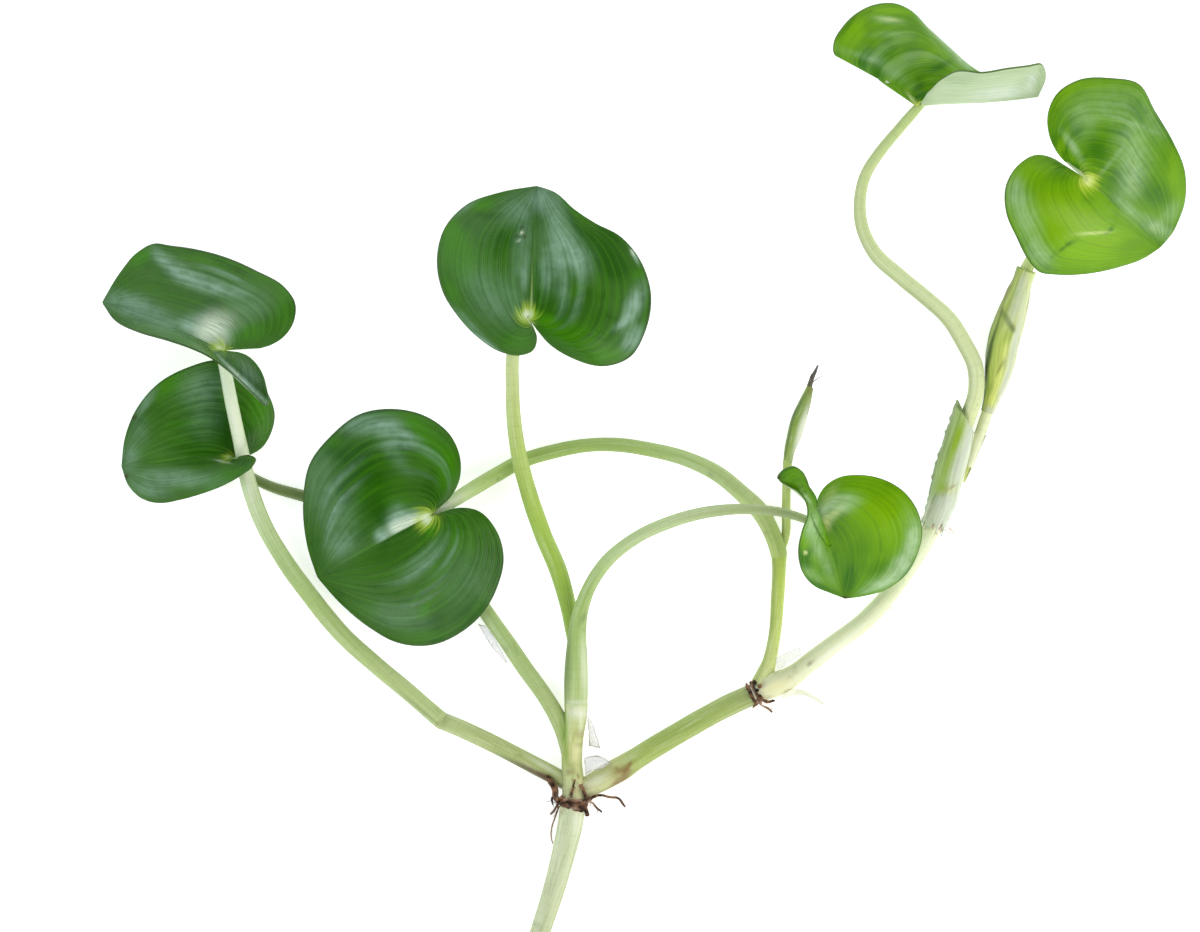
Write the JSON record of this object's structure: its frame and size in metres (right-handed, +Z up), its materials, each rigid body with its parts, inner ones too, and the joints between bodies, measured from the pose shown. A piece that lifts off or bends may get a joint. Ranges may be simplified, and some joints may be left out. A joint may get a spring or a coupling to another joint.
{
  "type": "mud plantain cutting",
  "caption": "Cut aquatic plant shoot with long curved stalks and folded kidney-shaped leaves, root tufts and leaf sheaths at its joints, laid flat for display.",
  "frame": {"origin": "on the table, under the middle of the plant's bounding box", "axes": "+X along the plant's longest side, +Y along the sheet towards the uppermost leaf, +Z up from the table"},
  "size_m": [0.2164, 0.1944, 0.0269],
  "materials": {
    "blade_dark": "smooth waxy dark green blade",
    "blade_bright": "smooth waxy bright green blade",
    "stalk_green": "pale green leaf stalk",
    "stem_green": "pale green to whitish stem",
    "sheath_green": "green sheath, bract and flower spathe",
    "root_brown": "dark brown fibrous root",
    "root_pink": "pale pinkish young root",
    "dry_skin": "thin dry whitish skin",
    "withered": "brown withered flower"
  },
  "bodies": {
    "root": {"bract_small": "sheath_green", "central_shoot": "stem_green", "flower_spathe": "sheath_green", "flower_stalk": "sheath_green", "flower_withered": "withered", "leaf_centre": "blade_dark", "leaf_far_left": "blade_dark", "leaf_folded": "blade_bright", "leaf_left": "blade_dark", "leaf_low_left": "blade_dark", "leaf_right": "blade_bright", "leaf_top": "blade_bright", "petiole_arch_left": "stalk_green", "petiole_arch_right": "stalk_green", "petiole_centre": "stalk_green", "petiole_far_left": "stalk_green", "petiole_low_left": "stalk_green", "petiole_right": "stalk_green", "petiole_top": "stalk_green", "root_tuft_lower": "root_brown", "root_tuft_middle": "root_brown", "root_tuft_upper": "root_pink", "sheath_right": "sheath_green", "sheath_upper": "sheath_green", "shoot_upright": "stem_green", "stem_left": "stem_green", "stem_lower": "stem_green", "stem_middle": "stem_green", "stem_upper": "stem_green", "stipule_centre": "dry_skin", "stipule_curled": "dry_skin", "stipule_joint": "dry_skin", "stipule_low_left": "dry_skin", "stipule_middle": "dry_skin", "stipule_upper": "dry_skin"}
  },
  "joints": []
}
